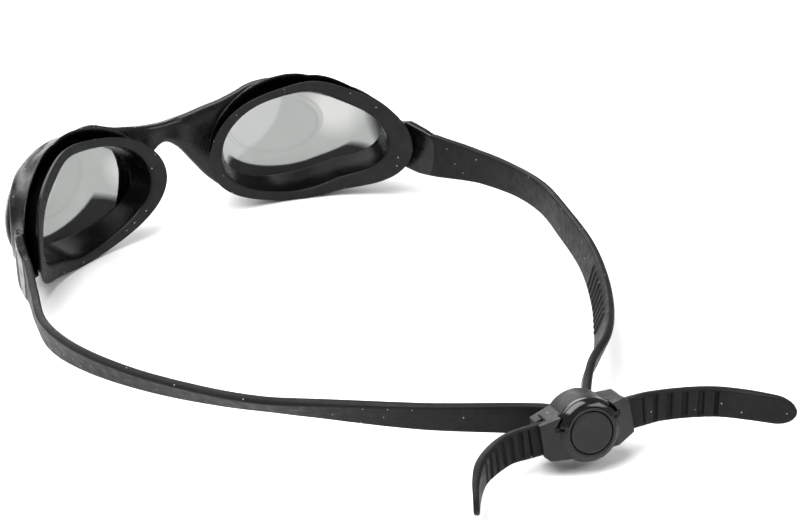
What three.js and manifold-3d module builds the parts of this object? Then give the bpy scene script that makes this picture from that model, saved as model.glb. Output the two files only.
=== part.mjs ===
// One-piece swim goggles standing on the lower edges of their eyecups.
// X runs to the wearer's right, Y forward, Z up; the floor is z = 0. Millimetres.
import * as THREE from 'three';
import { mergeVertices } from 'three/addons/utils/BufferGeometryUtils.js';
import Module from 'manifold-3d';

const wasm = await Module();
wasm.setup();

const { cos, sin, PI, sqrt } = Math;
const rad = THREE.MathUtils.degToRad;
const vec = (x, y, z) => new THREE.Vector3(x, y, z);

// ---------------------------------------------------------------- driving dimensions
const GAP = 0.3;                    // clearance kept between neighbouring pieces

// Moves the design origin, which is midway between the eyecups, under the middle of the whole object.
const ORIGIN_SHIFT = vec(2.26, 91.0, -0.44);

// Eyecups: u runs towards the temple, v up, n from the lens back towards the face.
const CUP_CENTRE = vec(41.3, 0, 20.8);
const CUP_WRAP = rad(27.4);         // how far each cup turns round the face
const CUP_TILT = rad(3.9);          // how far its top leans back
const FACE_CURVE = 0.0105;          // rearward curve of the seal's face, per mm
const LENS_CURVE = 0.0155;          // rearward curve of the lens rim, per mm
const LENS_DEPTH = 11.5;            // lens rim in front of the seal's face, at mid cup
const CUP_STEPS = 40;               // facets round an eyecup
const TURN_STEPS = 48;              // facets round the button

// Soft frame: rim behind the lens, nose bridge and temple arms.
const RIM_SETBACK = 5.5;            // groove between seal flange and frame rim
const BRIDGE_Y = 20.0;

// Strap: the hinge line is where each temple arm meets its strap.
const HINGE = vec(69.6, -26, 14.6);
const ROOT_RADIUS = 6.5;            // half the strap's height at its root
const STRAP_WIDTH = 8.0;
const TAIL_WIDTH = 7.7;
const STRAP_THICKNESS = 2.2;

// Push-button buckle, in its own axes: x along it, z up, depth from its back face outwards.
const BUCKLE_BACK = vec(-1.2, -176.8, 9.6);
const BUCKLE_TURN = rad(-17.4);
const BUCKLE_ROLL = rad(-5.4);
const BUCKLE_LEAN = rad(-8.8);
const WING_LENGTH = 11.6;           // half the buckle's length
const WING_END = 5.3;               // half its height at an end
const BOSS_RADIUS = 8.4;
const PLATE = 1.6;                  // thickness of the base plate
const BASE_TOP = 6.7;
const ROOF = { end: 8.0, crown: 10.2, half: 6.2 };   // fronts of the wings slope up to the button
const LIP = { radius: 6.1, top: 11.0 };              // ring round the button
const INLAY_FLOOR = 7.6;
const INLAY_LOW = 2.75;              // the glossy inlay covers the ring's side above this height
const BUTTON_TOP = 11.1;
const BUTTON_RADIUS = 5.1;
const CHANNEL = STRAP_WIDTH / 2 + GAP;
const BAR = { x: 6.6, depth: 3.2, radius: 1.0 };
const LAYER = BAR.depth + BAR.radius + GAP + STRAP_THICKNESS / 2;   // middle of the strap over its bar
const PIN = { x: 5.9, depth: 8.1, radius: 0.5, half: 3.1 };
const PAWL_HALF = 2.2;              // half the pawl's height
const PAWL_HUB = 0.95;
const PIN_CLEARANCE = 0.15;
const TAIL_HINGE_X = WING_LENGTH + GAP + STRAP_THICKNESS / 2;

// ---------------------------------------------------------------- closed bodies
// Stitches rings of points into one closed body: capped at both ends, or joined round into a loop.
function loft(rings, joined = false) {
  const count = rings[0].length;
  const positions = rings.flat().flatMap((p) => [p.x, p.y, p.z]);
  const indices = [];
  const spans = joined ? rings.length : rings.length - 1;
  for (let i = 0; i < spans; i++) {
    const here = i * count;
    const next = ((i + 1) % rings.length) * count;
    for (let j = 0; j < count; j++) {
      const k = (j + 1) % count;
      indices.push(here + j, next + j, next + k, here + j, next + k, here + k);
    }
  }
  if (!joined) {
    for (const [ring, first, flip] of [[rings[0], 0, false], [rings.at(-1), (rings.length - 1) * count, true]]) {
      const middle = ring.reduce((sum, p) => sum.add(p), vec(0, 0, 0)).divideScalar(count);
      const hub = positions.length / 3;
      positions.push(middle.x, middle.y, middle.z);
      for (let j = 0; j < count; j++) {
        const k = (j + 1) % count;
        indices.push(hub, first + (flip ? k : j), first + (flip ? j : k));
      }
    }
  }
  return outward(toGeometry(new Float32Array(positions), new Uint32Array(indices)));
}

function toGeometry(positions, indices) {
  const geometry = new THREE.BufferGeometry();
  geometry.setAttribute('position', new THREE.BufferAttribute(positions, 3));
  geometry.setIndex(new THREE.BufferAttribute(indices, 1));
  return geometry;
}

// Turns every face round if the body is inside out.
function outward(geometry) {
  const position = geometry.getAttribute('position');
  const index = geometry.index.array;
  const corner = (i) => vec().fromBufferAttribute(position, index[i]);
  let volume = 0;
  for (let i = 0; i < index.length; i += 3) {
    volume += corner(i).dot(corner(i + 1).cross(corner(i + 2)));
  }
  if (volume < 0) index.reverse();
  return geometry;
}

function solid(geometry) {
  const bare = geometry.clone();
  bare.deleteAttribute('normal');
  bare.deleteAttribute('uv');
  const merged = mergeVertices(bare, 1e-4);
  const vertProperties = new Float32Array(merged.getAttribute('position').array);
  const triVerts = new Uint32Array(merged.index.array);
  return new wasm.Manifold(new wasm.Mesh({ numProp: 3, vertProperties, triVerts }));
}

function fromSolid(body) {
  const mesh = body.getMesh();
  return toGeometry(new Float32Array(mesh.vertProperties), new Uint32Array(mesh.triVerts));
}

const join = (...geometries) => fromSolid(geometries.map(solid).reduce((a, b) => a.add(b)));
const cut = (body, ...tools) => fromSolid(tools.map(solid).reduce((a, b) => a.subtract(b), solid(body)));
const shared = (first, second) => fromSolid(solid(first).intersect(solid(second)));

function mirrored(geometry) {
  const copy = geometry.clone();
  copy.scale(-1, 1, 1);
  copy.index.array.reverse();
  return copy;
}

// ---------------------------------------------------------------- eyecup surfaces
const N_AXIS = vec(-sin(CUP_WRAP) * cos(CUP_TILT), -cos(CUP_WRAP) * cos(CUP_TILT), -sin(CUP_TILT));
const U_AXIS = vec(cos(CUP_WRAP), -sin(CUP_WRAP), 0);
const V_AXIS = vec().crossVectors(N_AXIS, U_AXIS);

// Egg-shaped outline of the seal: pointed at the nose, blunt at the temple.
function sealRadius(angle) {
  return 24.2 - 1.5 * cos(angle) - 1.1 * sin(angle) + 5.8 * cos(2 * angle) - 0.1 * sin(2 * angle)
    - 0.5 * sin(3 * angle) + 1.1 * cos(4 * angle) - 0.4 * sin(4 * angle);
}

// 1 at an angle round the cup, falling smoothly to 0 a quarter turn away.
const swell = (angle, at) => Math.max(0, cos(angle - at)) ** 3;
const UPPER = rad(85);
const NOSE_CORNER = rad(215);
const TEMPLE_CORNER = rad(28);

// Outline of the lens opening, a rounder egg inside the seal's: fuller below the nose, flatter on top.
function lensRadius(angle) {
  return 18.1 - 2.7 * cos(angle) - 0.3 * sin(angle) + 5.2 * cos(2 * angle) + 0.9 * cos(4 * angle)
    + 1.6 * swell(angle, NOSE_CORNER) - 2.2 * swell(angle, UPPER);
}

// Width of the flat flange that rests on the skin: broad at the temple.
function flangeWidth(angle) {
  return 4.3 + 1.5 * cos(angle) + 1.2 * cos(2 * angle);
}

// How far the frame's rim stands outside the seal: full above the nose, tucked in at the temple's upper corner.
function rimOutset(angle) {
  const brow = 3.2 * Math.max(0, -sin(2 * angle)) * Math.max(0, sin(angle));
  return 0.1 + brow - 1.5 * swell(angle, TEMPLE_CORNER) ** 3;
}

const faceDepth = (u) => FACE_CURVE * u * u;
const lensDepth = (u) => LENS_CURVE * u * u - LENS_DEPTH;

// Point of the right cup in space from its local coordinates.
function cupSpace(u, v, n) {
  return CUP_CENTRE.clone().addScaledVector(U_AXIS, u).addScaledVector(V_AXIS, v).addScaledVector(N_AXIS, n);
}

const cupAngles = Array.from({ length: CUP_STEPS }, (_, i) => (2 * PI * i) / CUP_STEPS);

// Row of points round the cup, where place(angle) is a [radius, depthRule, offset].
function cupRow(place) {
  return cupAngles.map((angle) => {
    const [radius, rule, offset] = place(angle);
    const u = radius * cos(angle);
    return cupSpace(u, radius * sin(angle), rule(u) + offset);
  });
}

// Closed section swept round the cup: section(angle) lists the places of its corners.
function cupRing(section) {
  const rows = section(0).map((_, corner) => cupRow((angle) => section(angle)[corner]));
  return loft(rows, true);
}

function sealGeometry() {
  return cupRing((angle) => {
    const outer = sealRadius(angle);
    const inner = outer - flangeWidth(angle);
    const seat = lensRadius(angle);
    const middle = (inner + seat) / 2;
    return [
      [outer, faceDepth, 0],
      [inner, faceDepth, 0],
      [middle, faceDepth, -3.5],
      [seat, lensDepth, GAP],
      [seat + 1.3, lensDepth, GAP],
      [middle + 1, faceDepth, -4.5],
      [outer - 0.5, faceDepth, -1.4],
    ];
  });
}

function rimGeometry() {
  return cupRing((angle) => {
    const outer = sealRadius(angle) + rimOutset(angle);
    const seat = lensRadius(angle);
    const shoulder = 0.45 * outer + 0.55 * seat + 0.9 * (1 - swell(angle, UPPER));
    return [
      [outer, faceDepth, -RIM_SETBACK],
      [outer - 1.6, faceDepth, -RIM_SETBACK],
      [seat + 2.0, lensDepth, 1.2],
      [seat + 1.9, lensDepth, -2.0],
      [seat + 3.0, lensDepth, -2.4],
      [shoulder, lensDepth, 0],
    ];
  });
}

// Clear shell: flange, side wall swept back to the temple, and a flat front window near the nose.
const WINDOW = { u: -11, v: -0.5, halfWidth: 15, halfHeight: 10.3, depth: -14.2 };
const LENS_WALL = 1.5;

function lensGeometry() {
  const rings = [];
  const layer = (mix, grow, offset) => cupAngles.map((angle) => {
    const radius = lensRadius(angle) + 1.4;
    const rimU = radius * cos(angle);
    const rimV = radius * sin(angle);
    const u = rimU + (WINDOW.u + (WINDOW.halfWidth + grow) * cos(angle) - rimU) * mix;
    const v = rimV + (WINDOW.v + (WINDOW.halfHeight + grow) * sin(angle) - rimV) * mix;
    const bulge = sqrt(1 - (1 - mix) * (1 - mix));
    return cupSpace(u, v, lensDepth(rimU) + (WINDOW.depth - lensDepth(rimU)) * bulge + offset);
  });
  for (const mix of [1, 0.75, 0.5, 0.25, 0]) rings.push(layer(mix, 0, -LENS_WALL * mix - 0.3));
  for (const mix of [0.06, 0.3, 0.55, 0.8, 1]) rings.push(layer(mix, -LENS_WALL, -0.3 * (1 - mix)));
  return loft(rings);
}

// ---------------------------------------------------------------- ribbons and bars
// Flat band along control points {at, up, width}: a rounded rectangle carried along a smooth curve.
function ribbon(points, { thickness, steps, startRound = 0, endRound = 0 }) {
  const curve = new THREE.CatmullRomCurve3(points.map((p) => p.at), false, 'centripetal');
  const spans = points.length - 1;
  const samples = [];
  for (let i = 0; i <= spans * steps; i++) {
    const t = i / (spans * steps);
    const index = Math.min(Math.floor(t * spans), spans - 1);
    const mix = t * spans - index;
    const up = points[index].up.clone().lerp(points[index + 1].up, mix);
    const width = THREE.MathUtils.lerp(points[index].width, points[index + 1].width, mix);
    samples.push({ at: curve.getPoint(t), tangent: curve.getTangent(t), up, width });
  }
  samples.forEach((sample, i) => {
    sample.from = i ? samples[i - 1].from + sample.at.distanceTo(samples[i - 1].at) : 0;
  });
  const length = samples.at(-1).from;
  const rings = samples.map(({ at, tangent, up, width, from }) => {
    const high = up.clone().addScaledVector(tangent, -up.dot(tangent)).normalize();
    const out = tangent.clone().cross(high);
    const half = (width / 2) * roundedEnd(from, startRound) * roundedEnd(length - from, endRound);
    return bandSection(at, high, out, half, thickness / 2);
  });
  return loft(rings);
}

// Share of the full width at a distance from a semicircular end.
function roundedEnd(distance, radius) {
  if (distance >= radius) return 1;
  const fromCentre = 1 - distance / radius;
  return Math.max(sqrt(1 - fromCentre * fromCentre), 0.25);
}

function bandSection(at, high, out, half, thick) {
  const corner = thick * 0.45;
  const outline = [
    [half, thick - corner], [half - corner, thick], [corner - half, thick], [-half, thick - corner],
    [-half, corner - thick], [corner - half, -thick], [half - corner, -thick], [half, corner - thick],
  ];
  return outline.map(([h, o]) => at.clone().addScaledVector(high, h).addScaledVector(out, o));
}

function block(width, depth, height, x, y, z) {
  return new THREE.BoxGeometry(width, depth, height).translate(x, y, z);
}

// ---------------------------------------------------------------- soft frame
// The bridge is an arch: slim over the nose, deep where it runs into each rim.
function bridgeGeometry() {
  const stations = [
    { x: 34, y: BRIDGE_Y - 10.8, low: 35, high: 40.1, thick: 1.6 },
    { x: 30, y: BRIDGE_Y - 9.4, low: 31, high: 39.9, thick: 2.6 },
    { x: 26, y: BRIDGE_Y - 7.7, low: 22, high: 38.8, thick: 3.6 },
    { x: 22, y: BRIDGE_Y - 6.5, low: 12, high: 37, thick: 4 },
    { x: 17.5, y: BRIDGE_Y - 4.5, low: 7, high: 35, thick: 4.5 },
    { x: 13.5, y: BRIDGE_Y - 2.5, low: 10, high: 33.6, thick: 4.5 },
    { x: 9, y: BRIDGE_Y - 1, low: 16, high: 32.2, thick: 4.2 },
    { x: 4.5, y: BRIDGE_Y, low: 22, high: 31.3, thick: 4 },
    { x: 0, y: BRIDGE_Y, low: 24.6, high: 31, thick: 3.8 },
  ];
  const all = [...stations, ...stations.slice(0, -1).reverse().map((s) => ({ ...s, x: -s.x }))];
  return loft(all.map(({ x, y, low, high, thick }) =>
    bandSection(vec(x, y, (low + high) / 2), vec(0, 0, 1), vec(0, 1, 0), (high - low) / 2, thick / 2)));
}

// Each temple arm carries the rim back to the strap and ends in a socket round the strap's root.
function armGeometry() {
  const points = [
    { at: vec(63, -7.5, 18.6), up: vec(0, 0, 1), width: 10 },
    { at: vec(65.9, -14.5, 17), up: vec(0, 0, 1), width: 15.5 },
    { at: vec(68.1, -20.5, 15.3), up: vec(0, 0, 1), width: 15 },
    { at: vec(HINGE.x, HINGE.y + 1, HINGE.z), up: vec(0, 0, 1), width: 13.8 },
  ];
  const socket = new THREE.CylinderGeometry(ROOT_RADIUS + GAP, ROOT_RADIUS + GAP, 20, 32)
    .rotateZ(PI / 2).translate(HINGE.x, HINGE.y, HINGE.z);
  const room = block(20, 20, 40, HINGE.x, HINGE.y - 10, HINGE.z);
  return cut(ribbon(points, { thickness: 2.4, steps: 3 }), socket, room);
}

// Space inside the right rim, which the bridge and the arm stay out of.
function cupHollow() {
  const layer = (radiusOf, rule, offset) => cupRow((angle) => [radiusOf(angle), rule, offset]);
  const inner = (angle) => lensRadius(angle) + 1.8;
  const groove = (angle) => sealRadius(angle) + rimOutset(angle) - 1.7;
  const past = (angle) => sealRadius(angle) + 1;
  return loft([
    layer(inner, lensDepth, -14), layer(inner, lensDepth, 1.2), layer(groove, faceDepth, -RIM_SETBACK),
    layer(past, faceDepth, 0.5 - RIM_SETBACK), layer(past, faceDepth, 8),
  ]);
}

function frameGeometry() {
  const hollow = cupHollow();
  const rim = rimGeometry();
  const arm = cut(armGeometry(), hollow);
  const bridge = cut(bridgeGeometry(), hollow, mirrored(hollow));
  return join(rim, mirrored(rim), arm, mirrored(arm), bridge);
}

// ---------------------------------------------------------------- buckle axes
const buckle = new THREE.Object3D();
buckle.position.copy(BUCKLE_BACK);
buckle.rotation.set(BUCKLE_LEAN, BUCKLE_ROLL, BUCKLE_TURN, 'ZYX');
buckle.updateMatrixWorld();

const buckleUp = vec(0, 0, 1).transformDirection(buckle.matrixWorld);
const buckleOut = vec(0, -1, 0).transformDirection(buckle.matrixWorld);
const inBuckle = (x, depth) => buckle.localToWorld(vec(x, -depth, 0));

// Front outline of the buckle: two wings that widen into a round boss.
function buckleShape(inset) {
  const radius = BOSS_RADIUS - inset;
  const end = WING_LENGTH - inset;
  const low = WING_END - inset;
  const corner = 1.2;
  const shoulder = rad(43);
  const shape = new THREE.Shape();
  shape.moveTo(end, -low + corner);
  shape.lineTo(end, low - corner);
  shape.lineTo(end - corner, low);
  shape.absarc(0, 0, radius, shoulder, PI - shoulder, false);
  shape.lineTo(corner - end, low);
  shape.lineTo(-end, low - corner);
  shape.lineTo(-end, corner - low);
  shape.lineTo(corner - end, -low);
  shape.absarc(0, 0, radius, PI + shoulder, 2 * PI - shoulder, false);
  shape.lineTo(end - corner, -low);
  shape.closePath();
  return shape;
}

// Slab of the buckle between two depths.
function slab(shape, from, to) {
  const geometry = new THREE.ExtrudeGeometry(shape, { depth: to - from, bevelEnabled: false, curveSegments: 20 });
  return geometry.rotateX(PI / 2).translate(0, -from, 0);
}

// Body turned about the button's axis from a closed profile of [radius, depth].
const turned = (profile) =>
  outward(new THREE.LatheGeometry(profile.map(([r, d]) => new THREE.Vector2(r, -d)), TURN_STEPS));

const disc = (radius, from, to) =>
  new THREE.CylinderGeometry(radius, radius, to - from, TURN_STEPS).translate(0, -(from + to) / 2, 0);
const pinAt = (x, depth, radius, half) =>
  new THREE.CylinderGeometry(radius, radius, 2 * half, 16).rotateX(PI / 2).translate(x, -depth, 0);
const cavity = (x0, x1, from, to, half) =>
  block(x1 - x0, to - from, 2 * half, (x0 + x1) / 2, -(from + to) / 2, 0);

function baseGeometry() {
  const long = WING_LENGTH + 1;
  const sill = WING_LENGTH - 2;
  const tools = [
    cavity(-long, long, LAYER - STRAP_THICKNESS / 2 - GAP, BASE_TOP + 1, CHANNEL),
    cavity(-sill, sill, PLATE, BASE_TOP, CHANNEL),
  ];
  for (const side of [-1, 1]) {
    const near = side * 2.3;
    const far = side * 9.4;
    tools.push(cavity(Math.min(near, far), Math.max(near, far), -1, PLATE + 1, CHANNEL));
    tools.push(pinAt(side * BAR.x, BAR.depth, BAR.radius + PIN_CLEARANCE, 5.6));
  }
  return cut(slab(buckleShape(0.3), 0, BASE_TOP), ...tools);
}

// Wing fronts: level over the button's ring, sloping down to both ends.
function roofGeometry() {
  const outline = [
    [-WING_LENGTH, 0], [-WING_LENGTH, ROOF.end], [-ROOF.half, ROOF.crown],
    [ROOF.half, ROOF.crown], [WING_LENGTH, ROOF.end], [WING_LENGTH, 0],
  ];
  const shape = new THREE.Shape(outline.map(([x, depth]) => new THREE.Vector2(x, -depth)));
  return new THREE.ExtrudeGeometry(shape, { depth: 2 * WING_END, bevelEnabled: false })
    .translate(0, 0, -WING_END);
}

// The front shell: two sloping wings and a domed ring, with a pocket for the inlay over the ring's top.
function coverGeometry() {
  const low = BASE_TOP + GAP;
  const edge = BOSS_RADIUS - 0.25;
  const wings = shared(slab(buckleShape(0.1), low, ROOF.crown + 1), roofGeometry());
  const dome = turned([
    [0, low], [edge, low], [edge, 8.2], [edge - 0.4, 9.5], [edge - 1.1, 10.4], [LIP.radius + 0.3, LIP.top], [0, LIP.top],
  ]);
  const pocket = turned([
    [LIP.radius, LIP.top + 1], [LIP.radius, 10.0], [LIP.radius + 0.8, 9.4], [LIP.radius + 1.2, 8.6],
    [LIP.radius + 1.4, INLAY_FLOOR], [edge + 0.3, INLAY_FLOOR], [edge + 0.3, LIP.top + 1], [LIP.radius, LIP.top + 1],
  ]).rotateY(PI / TURN_STEPS);
  const above = block(20, 20, 10, 0, -10, INLAY_LOW + 5);
  const tools = [
    shared(pocket, above),
    disc(BUTTON_RADIUS + GAP, 0, LIP.top + 1),
    cavity(-7.1, 7.1, 0, 9.5, PAWL_HALF + GAP),
  ];
  for (const side of [-1, 1]) {
    tools.push(pinAt(side * PIN.x, PIN.depth, PIN.radius + PIN_CLEARANCE, PIN.half + PIN_CLEARANCE));
  }
  return cut(join(wings, dome), ...tools);
}

// Glossy domed crescent let into the front shell above the button.
function inlayGeometry() {
  const low = INLAY_FLOOR + GAP;
  const inner = LIP.radius + GAP;
  const outer = BOSS_RADIUS - 0.2;
  const ring = turned([
    [inner, 10.2], [inner, LIP.top - 0.3], [inner + 0.4, LIP.top - 0.2], [outer - 0.8, 10.2], [outer - 0.3, 9.4],
    [outer, 8.4], [outer, low], [outer - 0.5, low], [outer - 0.6, 8.7], [outer - 1.0, 9.5], [inner, 10.2],
  ]);
  return cut(ring, block(20, 20, 20, 0, -10, INLAY_LOW + GAP - 10));
}

function buttonGeometry() {
  const low = BUTTON_TOP - 1.2;
  const legs = [-1, 1].map((side) => cavity(side * 2.8 - 0.4, side * 2.8 + 0.4, 9.0, low + 0.2, 2));
  return join(disc(BUTTON_RADIUS, low, BUTTON_TOP), ...legs);
}

// Rocking pawl: a leg of the button pushes its inner arm down, which rocks it about its pin.
function pawlGeometry() {
  const lever = cavity(2.4, PIN.x, 7.5, 8.7, PAWL_HALF);
  const hub = pinAt(PIN.x, PIN.depth, PAWL_HUB, PAWL_HALF);
  return cut(join(lever, hub), pinAt(PIN.x, PIN.depth, PIN.radius + PIN_CLEARANCE, 5));
}

function springGeometry() {
  const turns = 5;
  const [low, high] = [PLATE + 0.7, BUTTON_TOP - 1.9];
  class Helix extends THREE.Curve {
    getPoint(t, target = vec()) {
      const angle = 2 * PI * turns * t;
      return target.set(1.35 * cos(angle), -(low + (high - low) * t), 1.35 * sin(angle));
    }
  }
  const wire = new THREE.Shape().absarc(0, 0, 0.3, 0, 2 * PI);
  return new THREE.ExtrudeGeometry(wire, { steps: turns * 12, curveSegments: 3, extrudePath: new Helix() });
}

// ---------------------------------------------------------------- straps and tails
// Height direction of a band whose top leans outwards from the head by an angle.
function leaning(outX, outY, degrees) {
  const flat = vec(outX, outY, 0).normalize().multiplyScalar(sin(rad(degrees)));
  return flat.add(vec(0, 0, cos(rad(degrees))));
}

// Stations of each strap behind its root: place, top's outward lean in degrees, width.
const RIGHT_ROUTE = [
  [74.5, -40, 14.4, -6, 11], [77, -55, 13.5, -5, 9.8], [75.5, -69.5, 13, 2, 9.4], [69, -87.5, 12.4, 10, 9],
  [59.5, -109, 12, 17, 8.7], [48, -128, 11.5, 26, 8.5], [37.5, -142, 11.2, 31, 8.4],
  [27.3, -153.3, 11.6, 26, 8.2], [15, -162.6, 11.2, 19, 8],
];
const LEFT_ROUTE = [
  [-75, -41, 13.8, 2, 10.6], [-80, -57, 13.3, 13, 9.6], [-80, -74, 13.2, 24, 9], [-74, -94.5, 12.6, 34, 8.5],
  [-63, -115.5, 12, 44, 8.4], [-55, -125.5, 11.4, 48, 8.2], [-46, -134.5, 10.8, 38, 8], [-28.3, -151.5, 9.5, 17, 7.8],
];

function strapGeometry(side, route) {
  const root = [
    { at: vec(side * (HINGE.x - 1.6), HINGE.y + ROOT_RADIUS - GAP, HINGE.z), up: vec(0, 0, 1), width: 2 * ROOT_RADIUS },
    { at: vec(side * HINGE.x, HINGE.y, HINGE.z), up: vec(0, 0, 1), width: 2 * ROOT_RADIUS },
  ];
  const loop = route.map(([x, y, z, lean, width]) => ({ at: vec(x, y, z), up: leaning(x, y + 80, lean), width }));
  const radius = BAR.radius + GAP + STRAP_THICKNESS / 2;
  const inside = [
    [BAR.x - radius + 0.6, -3.5], [BAR.x - radius, 0.5], [BAR.x - radius, BAR.depth - 0.5],
    [BAR.x - radius * cos(PI / 4), BAR.depth + radius * sin(PI / 4)], [BAR.x, LAYER], [BAR.x + 1, LAYER],
    [WING_LENGTH - GAP, LAYER],
  ].map(([x, depth]) => ({ at: inBuckle(side * x, depth), up: buckleUp, width: STRAP_WIDTH }));
  return ribbon([...root, ...loop, ...inside],
    { thickness: STRAP_THICKNESS, steps: 4, startRound: ROOT_RADIUS });
}

// Stations of each free tail: place and the top's lean away from the head in degrees.
const RIGHT_TAIL = [
  [16, -186.6, 11.2, 4], [23, -188.8, 10.6, 4], [29.7, -192.6, 10.1, 5], [34.8, -197.8, 9.6, 6], [42, -207.5, 8.7, 8],
];
const LEFT_TAIL = [
  [-21.5, -177.3, 9.1, 2], [-27, -178.5, 8.8, 10], [-33, -181.3, 8.3, 18], [-37.5, -185.4, 7, 22], [-41.4, -190.4, 5.3, 22],
];

function tailGeometry(side, route) {
  const start = [TAIL_HINGE_X - STRAP_THICKNESS / 2, TAIL_HINGE_X + 1.5]
    .map((x) => ({ at: inBuckle(side * x, LAYER), up: buckleUp, width: STRAP_WIDTH }));
  const rest = route.map(([x, y, z, lean]) => {
    const up = buckleUp.clone().addScaledVector(buckleOut, Math.tan(rad(lean)));
    return { at: vec(x, y, z), up, width: TAIL_WIDTH };
  });
  return ribbon([...start, ...rest], { thickness: STRAP_THICKNESS, steps: 4, endRound: 5 });
}

// ---------------------------------------------------------------- assembly
const BLACK_RUBBER = { color: 0x1c1c1d, roughness: 0.62, metalness: 0 };
const SEAL_RUBBER = { color: 0x2b2c2d, roughness: 0.8, metalness: 0 };
const SMOKE_LENS = { color: 0x8d9290, roughness: 0.05, metalness: 0, transparent: true, opacity: 0.45 };
const SATIN_PLASTIC = { color: 0x222324, roughness: 0.5, metalness: 0 };
const GLOSS_PLASTIC = { color: 0x0b0b0c, roughness: 0.1, metalness: 0 };
const STEEL = { color: 0xb9bcc0, roughness: 0.3, metalness: 1 };

function part(parent, name, geometry, look) {
  const mesh = new THREE.Mesh(geometry, new THREE.MeshStandardMaterial(look));
  mesh.name = name;
  parent.add(mesh);
}

const goggles = new THREE.Group();
goggles.position.copy(ORIGIN_SHIFT);

part(goggles, 'frame', frameGeometry(), BLACK_RUBBER);
const seal = sealGeometry();
const lens = lensGeometry();
part(goggles, 'seal_right', seal, SEAL_RUBBER);
part(goggles, 'seal_left', mirrored(seal), SEAL_RUBBER);
part(goggles, 'lens_right', lens, SMOKE_LENS);
part(goggles, 'lens_left', mirrored(lens), SMOKE_LENS);

part(goggles, 'strap_right', strapGeometry(1, RIGHT_ROUTE), BLACK_RUBBER);
part(goggles, 'strap_left', strapGeometry(-1, LEFT_ROUTE), BLACK_RUBBER);
part(goggles, 'strap_tail_right', tailGeometry(1, RIGHT_TAIL), BLACK_RUBBER);
part(goggles, 'strap_tail_left', tailGeometry(-1, LEFT_TAIL), BLACK_RUBBER);

goggles.add(buckle);
const bar = pinAt(BAR.x, BAR.depth, BAR.radius, 4.9);
const pin = pinAt(PIN.x, PIN.depth, PIN.radius, PIN.half);
const pawl = pawlGeometry();
part(buckle, 'buckle_base', baseGeometry(), SATIN_PLASTIC);
part(buckle, 'buckle_cover', coverGeometry(), SATIN_PLASTIC);
part(buckle, 'dome_inlay', inlayGeometry(), GLOSS_PLASTIC);
part(buckle, 'button', buttonGeometry(), SATIN_PLASTIC);
part(buckle, 'button_spring', springGeometry(), STEEL);
for (const [side, shape] of [['right', (g) => g], ['left', mirrored]]) {
  part(buckle, `strap_bar_${side}`, shape(bar), STEEL);
  part(buckle, `pawl_pin_${side}`, shape(pin), STEEL);
  part(buckle, `pawl_${side}`, shape(pawl), SATIN_PLASTIC);
}

export default goggles;
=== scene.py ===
"""Looks for a pair of one-piece swim goggles: soft black frame, smoked lenses, elastic strap and buckle."""
import math
import bmesh
import bpy
import numpy as np
from mathutils import Matrix, Vector


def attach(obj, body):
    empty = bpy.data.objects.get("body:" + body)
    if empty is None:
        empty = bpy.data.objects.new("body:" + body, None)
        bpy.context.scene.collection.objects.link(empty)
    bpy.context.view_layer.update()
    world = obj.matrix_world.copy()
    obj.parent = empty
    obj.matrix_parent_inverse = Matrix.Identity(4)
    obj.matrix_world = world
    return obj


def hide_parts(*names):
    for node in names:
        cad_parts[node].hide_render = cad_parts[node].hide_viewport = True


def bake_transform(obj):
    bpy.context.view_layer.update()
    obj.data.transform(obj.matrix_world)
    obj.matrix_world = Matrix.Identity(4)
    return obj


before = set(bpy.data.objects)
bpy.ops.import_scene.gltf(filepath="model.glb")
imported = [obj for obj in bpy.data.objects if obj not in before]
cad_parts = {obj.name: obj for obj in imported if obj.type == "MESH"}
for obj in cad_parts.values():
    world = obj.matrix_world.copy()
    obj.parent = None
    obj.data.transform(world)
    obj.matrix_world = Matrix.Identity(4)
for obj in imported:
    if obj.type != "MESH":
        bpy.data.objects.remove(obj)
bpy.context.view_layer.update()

# ---------------------------------------------------------------- dimensions, in millimetres
MM = 0.001                          # the row frame is in metres
GAP = 0.3                           # clearance kept between neighbouring pieces
# from the design origin, between the cups, to the row frame
ORIGIN_SHIFT = np.array([2.26, 91.0, -0.44])

# Eyecups: u runs towards the temple, v up, n from the lens back towards the face.
CUP_CENTRE = np.array([41.3, 0.0, 20.8])
CUP_WRAP = math.radians(27.4)       # how far each cup turns round the face
CUP_TILT = math.radians(3.9)        # how far its top leans back
FACE_CURVE = 0.0105                 # rearward curve of the seal's face, per mm
LENS_CURVE = 0.0155                 # rearward curve of the lens rim, per mm
LENS_DEPTH = 11.5                   # lens rim in front of the seal's face, at mid cup
RIM_SETBACK = 5.5                   # groove between seal flange and frame rim
LENS_WALL = 1.5
WINDOW = {"u": -11.0, "v": -0.5, "half_width": 15.0, "half_height": 10.3, "depth": -14.2}

# Strap: the hinge line is where each temple arm meets its strap.
HINGE = np.array([69.6, -26.0, 14.6])
ROOT_RADIUS = 6.5                   # the strap's root passes this far ahead of its hinge
STRAP_WIDTH = 8.0
STRAP_THICKNESS = 2.2
TAIL_WIDTH = 7.7

# Buckle, in its own axes: x along it, z up, depth from its back face outwards.
BUCKLE_BACK = (-1.2, -176.8, 9.6)
BUCKLE_TURN = math.radians(-17.4)
BUCKLE_ROLL = math.radians(-5.4)
BUCKLE_LEAN = math.radians(-8.8)
WING_LENGTH = 11.6                  # half the buckle's length
WING_END = 5.3                      # half its height at an end
BOSS_RADIUS = 8.2
PLATE = 1.6                         # thickness of the base plate
BASE_TOP = 6.7
ROOF_END, ROOF_CROWN, ROOF_HALF = 8.0, 10.2, 6.2
LIP_RADIUS, LIP_TOP = 6.1, 11.0
INLAY_FLOOR = 7.6
INLAY_LOW = 2.75                    # the glossy inlay covers the ring above this height
BUTTON_TOP = 11.1
BUTTON_RADIUS = 5.1
BAR_X, BAR_DEPTH, BAR_RADIUS = 6.6, 3.2, 1.0
LAYER = BAR_DEPTH + BAR_RADIUS + GAP + STRAP_THICKNESS / 2
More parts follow.
